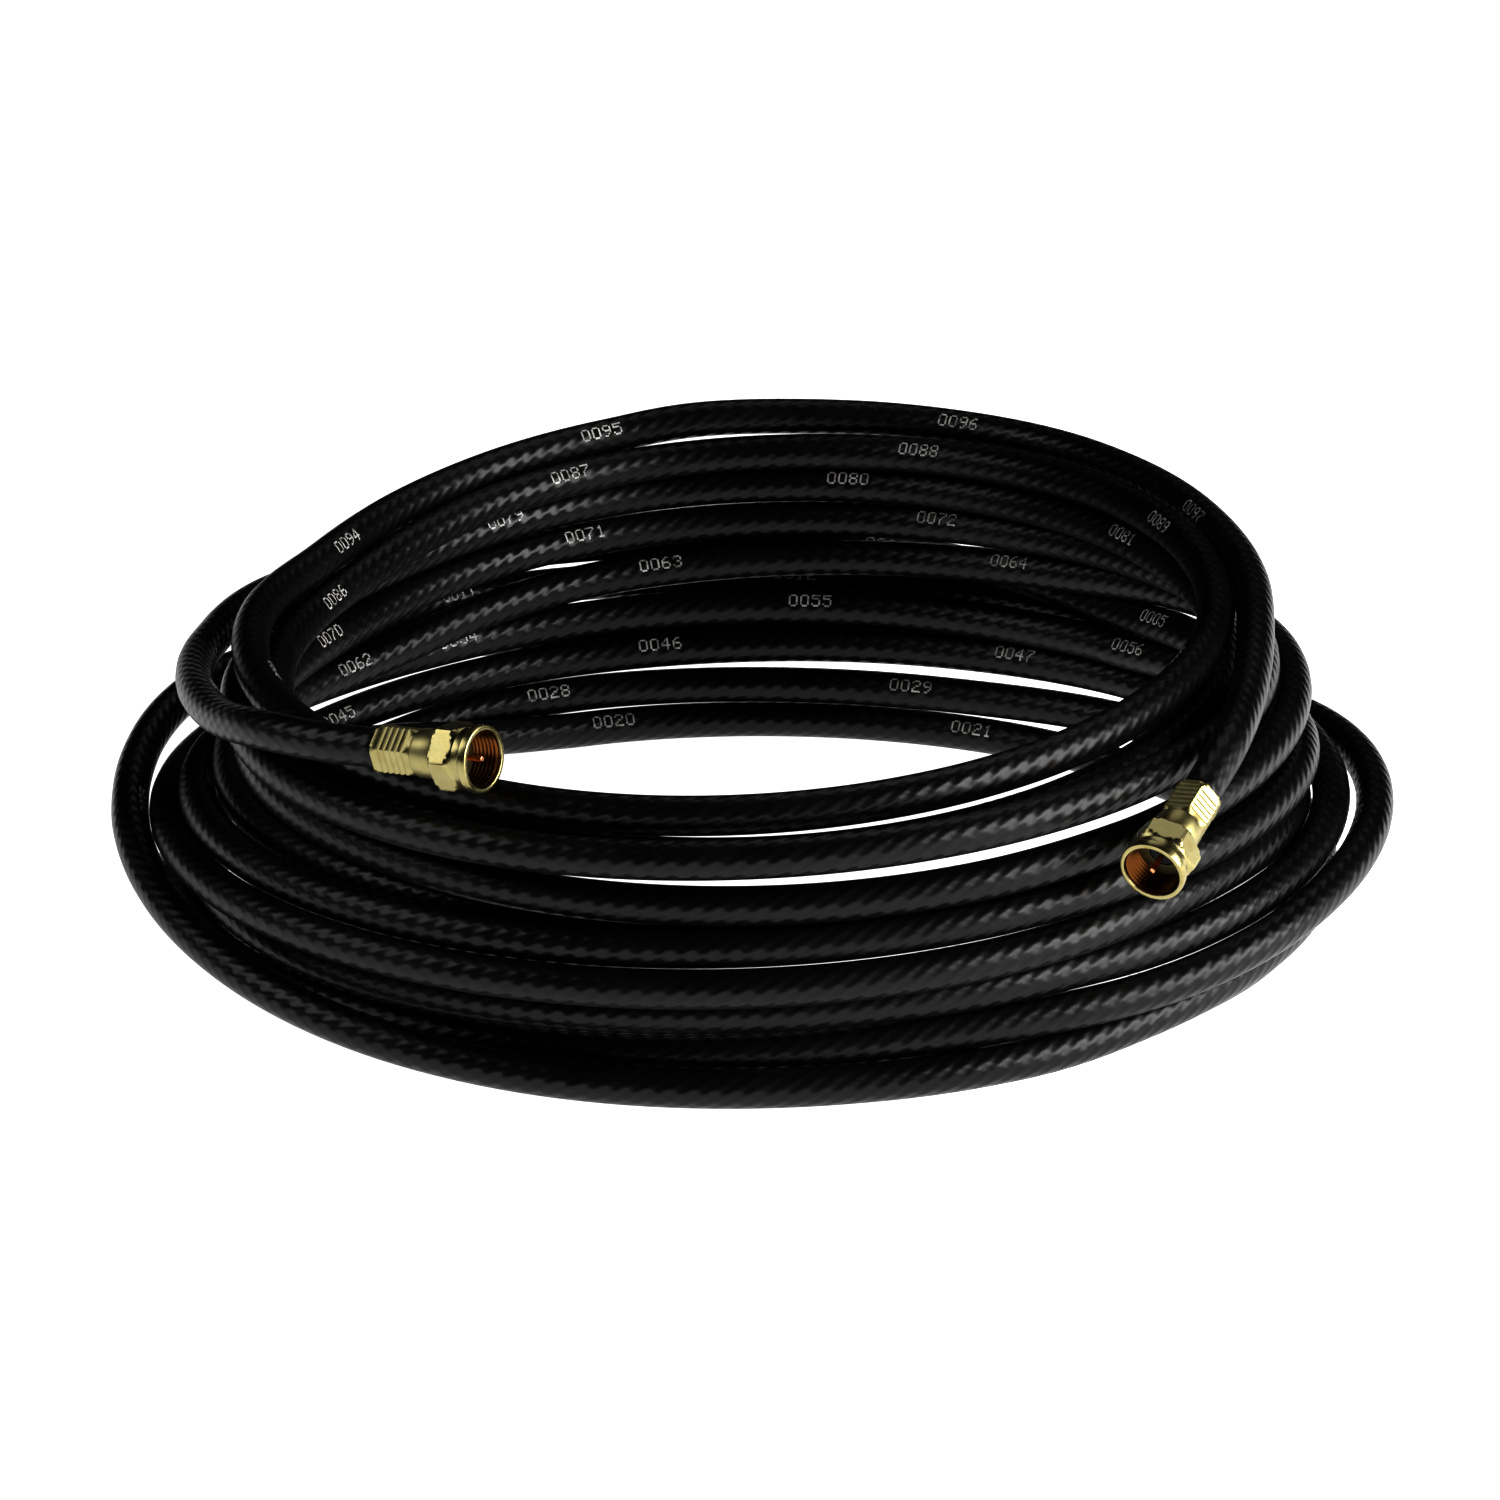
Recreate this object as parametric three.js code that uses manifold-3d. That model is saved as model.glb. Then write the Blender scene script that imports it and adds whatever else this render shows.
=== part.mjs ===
// A 7.6 m coaxial lead, wound by hand into a loose coil that lies flat, with a crimped
// screw-on plug at each end. Millimetres, +Z up. The origin is on the resting plane,
// under the middle of the whole lead, and the coil's own middle is COIL_AT from it.

import * as THREE from "three";
import { mergeVertices } from "three/addons/utils/BufferGeometryUtils.js";
import Module from "manifold-3d";

const wasm = await Module();
wasm.setup();

// The cable
const CABLE_D = 6.9;
const CABLE_SIDES = 8;
const TURN_STEPS = 30;
const TAIL_STEP = 2.2 * CABLE_D;
const GAP = 0.3;

// Where the coil's middle lies from the origin
const COIL_AT = new THREE.Vector3(-0.3, -1.85, 0);

// The turns in their order along the cable, from the right plug to the left one.
// Each is a tilted ellipse: where its middle is, its half width and half depth, the height
// of its middle line at the front and at the back, and how much higher it is on the right.
const TURNS = [
  { x: -3.5, y: 2.5, wide: 91, deep: 95.5, front: 53.5, back: 57.5, lean: -0.5 },
  { x: 0, y: -2, wide: 91.5, deep: 100, front: 47, back: 47, lean: 2 },
  { x: 4, y: 0.5, wide: 95, deep: 97.5, front: 41, back: 43, lean: -0.5 },
  { x: 0, y: -2, wide: 101, deep: 96, front: 30, back: 30, lean: 2.5 },
  { x: -2, y: -2, wide: 104, deep: 99.5, front: 23.5, back: 23.5, lean: 0 },
  { x: 5, y: 1, wide: 109, deep: 95, front: 12, back: 21, lean: 7.5 },
  { x: -4, y: 1.5, wide: 109.5, deep: 102.5, front: 7.5, back: 25.5, lean: -8.5 },
  { x: -2, y: 2.5, wide: 103, deep: 93.5, front: 3.45, back: 3.45, lean: 0 },
  { x: 2, y: -3, wide: 102, deep: 93, front: 18, back: 22, lean: 7.5 },
  { x: 1, y: 0, wide: 95, deep: 91, front: 34.5, back: 37, lean: 5 },
  { x: 1, y: 0.5, wide: 88, deep: 93.5, front: 48, back: 50.5, lean: -2.5 },
];

// Each plug: where its sleeve starts, which way it points, and how its two hexagons are turned
const PLUGS = {
  left: { at: [-61.9, -79.8, 59.4], along: [17.1, -11.12, 2.1], sleeveTurn: 0.2, nutTurn: 0.42 },
  right: { at: [76.9, -76, 48.8], along: [-8.5, -17.5, -6.47], sleeveTurn: 0.17, nutTurn: -0.15 },
};

// The free ends, from where each leaves the coil to the back of its plug
const TAILS = {
  left: [
    [-97.5, 20, 47.3],
    [-100, 2, 48],
    [-98.5, -22, 50],
    [-92.5, -44, 52.5],
    [-83.5, -62, 56.5],
    [-72.2, -73, 58.2],
  ],
  right: [
    [-10, 105, 62.5],
    [19, 106, 63.5],
    [42, 99, 63.5],
    [62, 84.5, 63.5],
    [78.6, 62, 63.5],
    [88.5, 38, 62.5],
    [94, 10, 61],
    [92.5, -18, 58.5],
    [88.5, -43, 55.5],
    [82.2, -64.6, 53],
  ],
};

// The plug, from the back of its sleeve to the mouth of its nut
const ROUND = 24;
const SLEEVE_HEX = 7.9;
const SLEEVE_HEX_L = 8.2;
const SLEEVE_ROUND_D = 8.5;
const SLEEVE_L = 12.2;
const POST_D = 6;
const POST_BORE = 5.2;
const POST_START = 1.5;
const FLANGE_D = 9.1;
const FLANGE_L = 1;
const DIELECTRIC_D = POST_BORE - 2 * GAP;
const NUT_L = 8.2;
const NUT_THREAD_D = FLANGE_D + 2 * GAP;
const NUT_HEX_WALL = 0.5;
const NUT_HEX = NUT_THREAD_D + 2 * NUT_HEX_WALL;
const NUT_HEX_L = 4.7;
const NUT_CHAMFER = 0.7;
const NUT_NECK_WALL = 0.55;
const NUT_NECK_D = NUT_THREAD_D + 2 * NUT_NECK_WALL;
const NUT_NECK_L = 1.6;
const NUT_RIM_WALL = 1;
const NUT_RIM_D = NUT_THREAD_D + 2 * NUT_RIM_WALL;
const NUT_LIP_L = 1.4;
const NUT_PLAY = 0.6;
const NUT_START = SLEEVE_L + NUT_PLAY;
const FLANGE_START = NUT_START + NUT_LIP_L + GAP;
const PIN_D = 1.02;
const PIN_SHORT = 0.4;

const jacket = new THREE.MeshStandardMaterial({ color: 0x141414, roughness: 0.42, metalness: 0 });
const brass = new THREE.MeshStandardMaterial({ color: 0xb39f5c, roughness: 0.25, metalness: 1 });
const copper = new THREE.MeshStandardMaterial({ color: 0xc4714a, roughness: 0.3, metalness: 1 });
const foam = new THREE.MeshStandardMaterial({ color: 0x2a2a2c, roughness: 0.7, metalness: 0 });

// Joining and cutting

function solid(geometry) {
  const bare = geometry.clone();
  bare.deleteAttribute("normal");
  bare.deleteAttribute("uv");
  const merged = mergeVertices(bare, 1e-4);
  return new wasm.Manifold(
    new wasm.Mesh({
      numProp: 3,
      vertProperties: new Float32Array(merged.attributes.position.array),
      triVerts: new Uint32Array(merged.index.array),
    }),
  );
}

function geometryOf(manifold) {
  const mesh = manifold.getMesh();
  const geometry = new THREE.BufferGeometry();
  geometry.setAttribute("position", new THREE.BufferAttribute(mesh.vertProperties, 3));
  geometry.setIndex(new THREE.BufferAttribute(mesh.triVerts, 1));
  geometry.computeVertexNormals();
  return geometry;
}

function named(name, geometry, material) {
  const mesh = new THREE.Mesh(geometry, material);
  mesh.name = name;
  return mesh;
}

// A turned piece about +Z, from [radius, height] pairs that go round its section.
function turned(profile, steps = ROUND) {
  const points = profile.map(([r, z]) => new THREE.Vector2(r, z));
  points.push(points[0].clone());
  return new THREE.LatheGeometry(points, steps).rotateX(Math.PI / 2);
}

// A hexagonal prism about +Z, by its width across flats.
function hexPrism(acrossFlats, from, to, turn) {
  const radius = acrossFlats / 2 / Math.cos(Math.PI / 6);
  const prism = new THREE.CylinderGeometry(radius, radius, to - from, 6);
  return prism.rotateX(Math.PI / 2).rotateZ(turn).translate(0, 0, (from + to) / 2);
}

// The coil: one ring of cable for each turn, all in one body, with a flat under each ring

function turnRing(turn) {
  const mean = (turn.wide + turn.deep) / 2;
  const radius = CABLE_D / 2 / Math.cos(Math.PI / CABLE_SIDES);
  const section = [];
  for (let i = 0; i < CABLE_SIDES; i++) {
    const angle = ((i + 0.5) * 2 * Math.PI) / CABLE_SIDES;
    section.push([mean + radius * Math.cos(angle), radius * Math.sin(angle)]);
  }
  const rise = (turn.back - turn.front) / 2;
  const tilt = new THREE.Matrix4();
  tilt.set(1, 0, 0, 0, 0, 1, 0, 0, turn.lean / turn.wide, rise / turn.deep, 1, 0, 0, 0, 0, 1);
  return turned(section, TURN_STEPS)
    .scale(turn.wide / mean, turn.deep / mean, 1)
    .applyMatrix4(tilt)
    .translate(turn.x, turn.y, (turn.front + turn.back) / 2);
}

function coilGeometry() {
  const rings = TURNS.map((turn) => solid(turnRing(turn)));
  const joined = rings.reduce((all, ring) => all.add(ring));
  const shells = joined.decompose().sort((a, b) => b.volume() - a.volume());
  return geometryOf(shells[0]);
}

// A free end: an even tube along a smooth curve through its points and into the plug's line

function tailGeometry(points, plug) {
  const end = new THREE.Vector3(...plug.at);
  const back = new THREE.Vector3(...plug.along).normalize().multiplyScalar(-GAP);
  const route = points.map((p) => new THREE.Vector3(...p));
  const curve = new THREE.CatmullRomCurve3([...route, end.add(back)], false, "centripetal");
  const section = new THREE.Shape();
  for (let i = 0; i < CABLE_SIDES; i++) {
    const angle = ((i + 0.5) * 2 * Math.PI) / CABLE_SIDES;
    const x = (CABLE_D / 2) * Math.cos(angle);
    const y = (CABLE_D / 2) * Math.sin(angle);
    if (i === 0) section.moveTo(x, y);
    else section.lineTo(x, y);
  }
  section.closePath();
  const steps = Math.round(curve.getLength() / TAIL_STEP);
  return new THREE.ExtrudeGeometry(section, { steps, extrudePath: curve, bevelEnabled: false });
}

// The plug's pieces, each along +Z from the back of the sleeve

// The crimped sleeve: a hexagon over the jacket and a round end against the nut.
function sleeveGeometry(turn) {
  const bore = POST_D / 2 + GAP;
  const hexagon = solid(hexPrism(SLEEVE_HEX, 0, SLEEVE_HEX_L, turn));
  const roundEnd = [
    [0, SLEEVE_HEX_L - 1],
    [SLEEVE_ROUND_D / 2, SLEEVE_HEX_L - 1],
    [SLEEVE_ROUND_D / 2, SLEEVE_L],
    [0, SLEEVE_L],
  ];
  const hole = [
    [0, POST_START - GAP],
    [bore, POST_START - GAP],
    [bore, SLEEVE_L + 1],
    [0, SLEEVE_L + 1],
  ];
  return geometryOf(hexagon.add(solid(turned(roundEnd))).subtract(solid(turned(hole))));
}

// The post: a tube that goes up inside the cable, with the flange that keeps the nut on.
function postGeometry() {
  return turned([
    [POST_BORE / 2, POST_START],
    [POST_D / 2, POST_START],
    [POST_D / 2, FLANGE_START],
    [FLANGE_D / 2, FLANGE_START],
    [FLANGE_D / 2, FLANGE_START + FLANGE_L],
    [POST_BORE / 2, FLANGE_START + FLANGE_L],
  ]);
}

// The nut: hexagon, neck and round rim outside, lip and threaded hollow inside.
function nutGeometry(turn) {
  const end = NUT_START + NUT_L;
  const hexEnd = NUT_START + NUT_HEX_L;
  const corner = NUT_HEX / 2 / Math.cos(Math.PI / 6);
  const chamfered = [
    [0, NUT_START],
    [corner - NUT_CHAMFER, NUT_START],
    [corner, NUT_START + NUT_CHAMFER],
    [corner, hexEnd - NUT_CHAMFER],
    [corner - NUT_CHAMFER, hexEnd],
    [0, hexEnd],
  ];
  const rim = [
    [0, hexEnd - NUT_LIP_L],
    [NUT_NECK_D / 2, hexEnd - NUT_LIP_L],
    [NUT_NECK_D / 2, hexEnd + NUT_NECK_L],
    [NUT_RIM_D / 2, hexEnd + NUT_NECK_L + NUT_RIM_WALL / 2],
    [NUT_RIM_D / 2, end],
    [0, end],
  ];
  const hollow = [
    [0, NUT_START - 1],
    [POST_D / 2 + GAP, NUT_START - 1],
    [POST_D / 2 + GAP, NUT_START + NUT_LIP_L],
    [NUT_THREAD_D / 2, NUT_START + NUT_LIP_L],
    [NUT_THREAD_D / 2, end + 1],
    [0, end + 1],
  ];
  const hexagon = solid(hexPrism(NUT_HEX, NUT_START, hexEnd, turn)).intersect(solid(turned(chamfered)));
  return geometryOf(hexagon.add(solid(turned(rim))).subtract(solid(turned(hollow))));
}

function rod(diameter, from, to, steps) {
  return new THREE.CylinderGeometry(diameter / 2, diameter / 2, to - from, steps)
    .rotateX(Math.PI / 2)
    .translate(0, 0, (from + to) / 2);
}

function plugGroup(side) {
  const plug = PLUGS[side];
  const face = FLANGE_START + FLANGE_L;
  const group = new THREE.Group();
  group.add(
    named(`${side}_crimp_sleeve`, sleeveGeometry(plug.sleeveTurn), brass),
    named(`${side}_post`, postGeometry(), brass),
    named(`${side}_nut`, nutGeometry(plug.nutTurn), brass),
    named(`${side}_dielectric`, rod(DIELECTRIC_D, POST_START, face, ROUND), foam),
    named(`${side}_centre_pin`, rod(PIN_D, face + GAP, NUT_START + NUT_L - PIN_SHORT, 8), copper),
  );
  group.position.set(...plug.at);
  const along = new THREE.Vector3(...plug.along).normalize();
  group.quaternion.setFromUnitVectors(new THREE.Vector3(0, 0, 1), along);
  return group;
}

const lead = new THREE.Group();
lead.position.copy(COIL_AT);
lead.add(named("cable_coil", coilGeometry(), jacket));
for (const side of ["left", "right"]) {
  lead.add(named(`${side}_tail`, tailGeometry(TAILS[side], PLUGS[side]), jacket));
  lead.add(plugGroup(side));
}

const group = new THREE.Group();
group.add(lead);

export default group;
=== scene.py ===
"""Looks of the coaxial cable coil: the wound cable, its two screw-on plugs and the studio."""
import math

import bpy
import numpy as np
from bpy.props import FloatProperty, FloatVectorProperty, PointerProperty
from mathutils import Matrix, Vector


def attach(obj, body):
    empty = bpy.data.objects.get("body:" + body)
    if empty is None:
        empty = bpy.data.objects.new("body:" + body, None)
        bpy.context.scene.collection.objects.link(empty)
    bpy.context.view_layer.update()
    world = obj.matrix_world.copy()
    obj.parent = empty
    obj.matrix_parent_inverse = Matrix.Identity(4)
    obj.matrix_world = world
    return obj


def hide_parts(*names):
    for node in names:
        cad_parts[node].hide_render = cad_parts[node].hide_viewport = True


bl_info = {
    "name": "Coaxial cable coil",
    "version": (1, 0, 0),
    "blender": (4, 5, 0),
    "location": "View3D > Sidebar > Cable coil",
    "description": "Builds a wound coaxial cable with screw-on plugs over its CAD frame",
    "category": "Add Mesh",
}

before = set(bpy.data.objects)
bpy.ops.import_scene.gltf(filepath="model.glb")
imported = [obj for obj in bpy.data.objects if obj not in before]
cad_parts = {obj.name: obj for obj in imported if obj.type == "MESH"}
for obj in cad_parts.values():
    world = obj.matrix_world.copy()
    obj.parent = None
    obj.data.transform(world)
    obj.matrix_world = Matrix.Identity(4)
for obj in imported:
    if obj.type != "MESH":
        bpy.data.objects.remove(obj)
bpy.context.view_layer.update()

MM = 0.001
CABLE_D = 6.9
COIL_AT = np.array([-0.3, -1.85, 0.0])

# Each turn in its order along the cable, in millimetres: the middle, half width and half
# depth of its ellipse seen from above, and its height at the front, right, back and left.
TURNS = [
    dict(x=-2.5, y=2.5, wide=87.8, deep=95.5, front=52.8, right=59.5, back=56, left=52.6, bend=0),
    dict(x=1, y=0.5, wide=87.5, deep=93.5, front=45.2, right=53, back=50.5, left=46.6, bend=0),
    dict(x=-0.5, y=-2, wide=92, deep=99.5, front=48.3, right=52, back=47, left=43.5, bend=0),
    dict(x=4, y=0.5, wide=95, deep=97.5, front=37.6, right=45, back=43, left=36.6, bend=0),
    dict(x=0, y=-2, wide=101, deep=96, front=30.5, right=35.5, back=30, left=28, bend=0),
    dict(x=-2, y=-2, wide=104, deep=99.5, front=23.6, right=24.5, back=23.5, left=23, bend=0),
    dict(x=5, y=1, wide=109, deep=94, front=9.9, right=25, back=21, left=10, bend=0),
    dict(x=-4, y=1.5, wide=109, deep=101.1, front=6.6, right=11.5, back=25.5, left=24, bend=-4),
    dict(x=-0.5, y=2.5, wide=101.5, deep=90.2, front=3.45, right=3.45, back=3.45, left=3.45, bend=0),
    dict(x=2, y=-3, wide=102, deep=93, front=18.5, right=26, back=22, left=14, bend=0),
    dict(x=1, y=0, wide=95, deep=91, front=34.5, right=39, back=37, left=30.4, bend=0),
]

# Where the cable passes the back between one turn and the next: half depth and half width of
# its arc, its height there, and how far it climbs over each following CLIMB_OVER degrees.
BACKS = [
    dict(deep=103, wide=86, height=56.5, climb=-5),
    dict(deep=103.5, wide=87, height=49, climb=-5),
    dict(deep=102.5, wide=90, height=43, climb=-5),
    dict(deep=101, wide=95, height=35, climb=-5),
    dict(deep=98.5, wide=101, height=26.6, climb=-3),
    dict(deep=97.4, wide=104, height=18.5, climb=-4),
    dict(deep=104.5, wide=109, height=20.2, climb=0),
    dict(deep=93.5, wide=103, height=10.35, climb=-2),
    dict(deep=94.5, wide=102, height=3.45, climb=0),
    dict(deep=106.5, wide=98, height=28.4, climb=1),
    dict(deep=109, wide=94, height=36.4, climb=3),
]

# The free ends, each from the coil to the back of its plug
LEFT_TAIL = [
    [-97.5, 20, 47.3],
    [-100, 2, 48],
    [-98.5, -22, 50],
    [-92.5, -44, 52.5],
    [-83.5, -62, 56.5],
    [-72.2, -73, 58.2],
]
RIGHT_TAIL = [
    [-10, 104.2, 61],
    [19, 104.4, 61.8],
    [42, 97, 62],
    [61, 83.2, 62.2],
    [76.6, 61.5, 62.2],
    [86.2, 38, 61.6],
    [91.3, 10, 60.4],
    [90.6, -18, 58.5],
    [87.4, -43, 55.5],
    [82.2, -64.6, 53],
]
# Where the top loop comes down to the first turn at the left
TOP_LOOP = [
    [-30, 98.5, 58.3],
    [-51, 85, 56],
    [-67, 66, 54.4],
    [-80.5, 39, 53],
    [-86, 24, 52.6],
    [-89.8, 0, 52.4],
]

# Each plug: where its sleeve starts, which way it points, and how its hexagons are turned
PLUGS = {
    "left": dict(at=[-61.9, -79.8, 59.4], along=[17.1, -11.12, 2.1], sleeve=0.2, nut=0.42),
    "right": dict(at=[76.9, -76, 48.8], along=[-8.5, -17.5, -6.47], sleeve=0.17, nut=-0.15),
}

# The cable is laid out at every STEP degrees round the coil. At the right a turn fades into
# the arc at the back, at the left the arc fades into the next turn, each over these angles.
STEP = 2.0
LEAVES_RIGHT = (-5.0, 70.0)
REACHES_LEFT = (100.0, 175.0)
LOOP_JOINS = (150.0, 180.0)
BACK_AT = 90
CLIMB_OVER = 60

# How strands that lie in each other are moved apart
SETTLE_ROUNDS = 600
LAST_EVENED = 40
LAST_DRAWN_BACK = 60
CLEAR_OF = CABLE_D * 1.012
PUSH_SHARE = 0.28
DRAW_BACK = 0.996
SAG = 0.003
EVEN_REACH = 10
EVEN_WIDTH = 4.0
HELD_ENDS = 8
FREE_AFTER = 30

# The tube's rings are RING_STEP millimetres apart
RING_STEP = 2.0
TUBE_SIDES = 20

# The plug's lengths and widths, in millimetres
SLEEVE_HEX = 7.9
SLEEVE_HEX_L = 8.2
SLEEVE_ROUND_D = 8.5
SLEEVE_L = 12.2
SLEEVE_RIBS = 5
RIB_CREST = 4.56
NUT_START = 12.8
NUT_L = 8.2
NUT_HEX = 10.7
NUT_HEX_L = 4.7
NUT_NECK_D = 10.8
NUT_NECK_L = 1.6
NUT_RIM_D = 11.7
NUT_THREAD_D = 9.7
THREAD_DEPTH = 0.35
THREAD_PITCH = 0.79
LIP_BORE_D = 6.6
FLANGE_FRONT = 15.5
WIRE_D = 1.02

# The camera, for a frame of 1500 by 1500 pixels
FRAME_PX = 1500
FOCAL_PX = 6540
SHIFT_PX = (2, 28)
SENSOR_MM = 36.0
CAMERA_TILT = math.radians(20)
CAMERA_AWAY = 1.2
CAMERA_TARGET_Z = 0.025


# Curves and surfaces


def ease(t):
    """Rises from 0 to 1 with no slope or curvature at either end: t^3 (6t^2 - 15t + 10)."""
    t = np.clip(t, 0, 1)
    return t * t * t * (t * (6 * t - 15) + 10)


def smooth_curve(points, samples=40):
    """Catmull-Rom curve through the points, its knots apart by the root of their distance."""
    p = np.asarray(points, float)
    p = np.vstack([2 * p[0] - p[1], p, 2 * p[-1] - p[-2]])
    knots = np.concatenate([[0.0], np.cumsum(np.linalg.norm(np.diff(p, axis=0), axis=1) ** 0.5)])
    out = []
    for i in range(1, len(p) - 2):
        t = np.linspace(knots[i], knots[i + 1], samples, endpoint=False)[:, None]
        k = knots[i - 1 : i + 3]
        q = p[i - 1 : i + 3]
        a = [((k[j + 1] - t) * q[j] + (t - k[j]) * q[j + 1]) / (k[j + 1] - k[j]) for j in range(3)]
        b = [((k[j + 2] - t) * a[j] + (t - k[j]) * a[j + 1]) / (k[j + 2] - k[j]) for j in range(2)]
        out.append(((k[2] - t) * b[0] + (t - k[1]) * b[1]) / (k[2] - k[1]))
    return np.vstack(out + [p[-2][None]])


def to_polar(points):
    """Angle in degrees, distance and height of each point about the coil's middle."""
    angle = np.degrees(np.unwrap(np.arctan2(points[:, 1], points[:, 0])))
    return angle, np.hypot(points[:, 0], points[:, 1]), points[:, 2]


def turn_shape(turn, degrees):
    """Distance and height of one turn at each angle: an ellipse seen from above, whose height
    runs smoothly through its four heights as a cosine, a sine and a doubled cosine."""
    t = np.radians(np.arange(-20, 381, 1.0))
    front, right, back, left = (turn[side] for side in ("front", "right", "back", "left"))
    middle = (front + right + back + left) / 4
    saddle = (right + left - back - front) / 4
    z = middle + (right - left) / 2 * np.cos(t) + (back - front) / 2 * np.sin(t)
    z = z + saddle * np.cos(2 * t) + turn["bend"] * np.sin(2 * t)
    x = turn["x"] + turn["wide"] * np.cos(t)
    y = turn["y"] + turn["deep"] * np.sin(t)
    angle, distance, height = to_polar(np.stack([x, y, z], 1))
    angle = angle - 360 * round(angle[20] / 360)
    around = np.mod(degrees, 360)
    return np.interp(around, angle, distance), np.interp(around, angle, height)


def settle(distance, height, degrees, steady):
    """Moves turns that lie in each other apart. At each angle the turns are discs in one upright
    plane: two that are closer than a cable's width push each other away along the line between
    them, or up and down where they cross. The moves are evened out along the cable, drawn back
    a little each round, and sag a little except where the line is held steady."""
    per_turn = int(360 / STEP)
    count = len(degrees)
    rows = -(-count // per_turn)
    blank = np.full(rows * per_turn - count, np.nan)
    from_end = np.minimum(np.arange(count), np.arange(count)[::-1]) * STEP
    free = np.clip((from_end - HELD_ENDS) / FREE_AFTER, 0, 1)
    out = np.zeros(count)
    up = np.zeros(count)
    weights = np.exp(-0.5 * (np.arange(-EVEN_REACH, EVEN_REACH + 1) / EVEN_WIDTH) ** 2)
    weights = weights / weights.sum()
    same = np.arange(rows)
    for step in range(SETTLE_ROUNDS):
        r = np.concatenate([distance + out, blank]).reshape(rows, per_turn)
        z = np.concatenate([height + up, blank]).reshape(rows, per_turn)
        dr = r[:, None] - r[None]
        dz = z[:, None] - z[None]
        apart = np.sqrt(dr * dr + dz * dz) + 1e-6
        push = np.clip(CLEAR_OF - apart, 0, None)
        push[same, same] = 0
        push = np.where(np.isnan(push), 0, push)
        crossing = np.clip(1 - apart / (0.5 * CABLE_D), 0, 1)
        side = np.sign(np.where(np.abs(dz) > 1e-3, dz, 1e-3))
        move_out = np.nansum(push * dr / apart * (1 - crossing), axis=1)
        move_up = np.nansum(push * (dz / apart + crossing * side), axis=1)
        out += move_out.reshape(-1)[:count] * PUSH_SHARE * free
        up += move_up.reshape(-1)[:count] * PUSH_SHARE * free
        if step % 4 == 0 and step < SETTLE_ROUNDS - LAST_EVENED:
            for moved in (out, up):
                evened = np.convolve(np.pad(moved, EVEN_REACH, mode="edge"), weights, "valid")
                moved += 0.5 * (evened - moved)
        if step < SETTLE_ROUNDS - LAST_DRAWN_BACK:
            out *= DRAW_BACK
            up *= DRAW_BACK
            up -= SAG * free * (1 - steady)
        up = np.maximum(up, CABLE_D / 2 - height)
    return distance + out, height + up


def fade(degrees, between):
    """Rises from 0 to 1 between two angles."""
    return ease((degrees - between[0]) / (between[1] - between[0]))


def arc_shape(arc, degrees, at):
    """Distance and height along one arc at the back: an ellipse about the coil's middle, and a
    straight climb on either side of the back."""
    t = np.radians(degrees)
    distance = 1 / np.hypot(np.cos(t) / arc["wide"], np.sin(t) / arc["deep"])
    return distance, arc["height"] + arc["climb"] * np.clip((degrees - at) / CLIMB_OVER, -1.5, 1.5)


def cable_line():
    """The cable's centre line from the right plug to the left one, in metres: the right tail,
    then turn after turn with an arc at the back between one and the next, then the left tail,
    each faded into the next over a range of angles, and settled so that none overlap."""
    right, left = PLUGS["right"], PLUGS["left"]
    tail_a, tail_r, tail_z = to_polar(smooth_curve([right["at"]] + RIGHT_TAIL[::-1] + TOP_LOOP))
    end_a, end_r, end_z = to_polar(smooth_curve(LEFT_TAIL + [left["at"]]))
    turns = len(TURNS)
    end_a = end_a + 360 * round((168 + 360 * turns - end_a[0]) / 360)
    first = math.ceil(tail_a[0] / STEP) * STEP
    last = math.floor(end_a[-1] / STEP) * STEP
    degrees = np.arange(first, last + 0.5 * STEP, STEP)
    share = 1 - fade(degrees, LOOP_JOINS)
    distance = share * np.interp(degrees, tail_a, tail_r)
    height = share * np.interp(degrees, tail_a, tail_z)
    for index in range(turns):
        here = degrees - 360 * index
        r, z = turn_shape(TURNS[index], degrees)
        comes = fade(here, REACHES_LEFT if index else LOOP_JOINS)
        share = comes * (1 - fade(here - 360, LEAVES_RIGHT))
        distance += share * r
        height += share * z
        r, z = arc_shape(BACKS[index], degrees, BACK_AT + 360 * (index + 1))
        goes = fade(here - 360, REACHES_LEFT)
        if index == turns - 1:
            goes = fade(degrees, (100 + 360 * turns, end_a[0]))
            distance += goes * np.interp(degrees, end_a, end_r)
            height += goes * np.interp(degrees, end_a, end_z)
        share = fade(here - 360, LEAVES_RIGHT) * (1 - goes)
        distance += share * r
        height += share * z
    steady = ((degrees < tail_a[-1] - 30) | (degrees > end_a[0])).astype(float)
    distance, height = settle(distance, height, degrees, steady)
    t = np.radians(degrees)
    line = np.stack([distance * np.cos(t), distance * np.sin(t), height], 1)[3:-3]
    start = [plug_point(right, 0), plug_point(right, -2.5)]
    end = [plug_point(left, -2.5), plug_point(left, 0)]
    line = np.vstack([*start, line, *end])
    return (even(smooth_curve(line, 6), RING_STEP) + COIL_AT) * MM


def plug_point(plug, along):
    """The point that far along a plug's line from the back of its sleeve, in millimetres."""
    direction = np.array(plug["along"], float)
    return np.array(plug["at"], float) + direction / np.linalg.norm(direction) * along


def even(points, step):
    """The same line with its points an even step apart."""
    lengths = np.concatenate([[0.0], np.cumsum(np.linalg.norm(np.diff(points, axis=0), axis=1))])
    at = np.linspace(0, lengths[-1], int(round(lengths[-1] / step)) + 1)
    return np.stack([np.interp(at, lengths, points[:, i]) for i in range(3)], 1)


def unit(vectors):
    """Each vector at a length of one."""
    return vectors / np.linalg.norm(vectors, axis=-1, keepdims=True)


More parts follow.
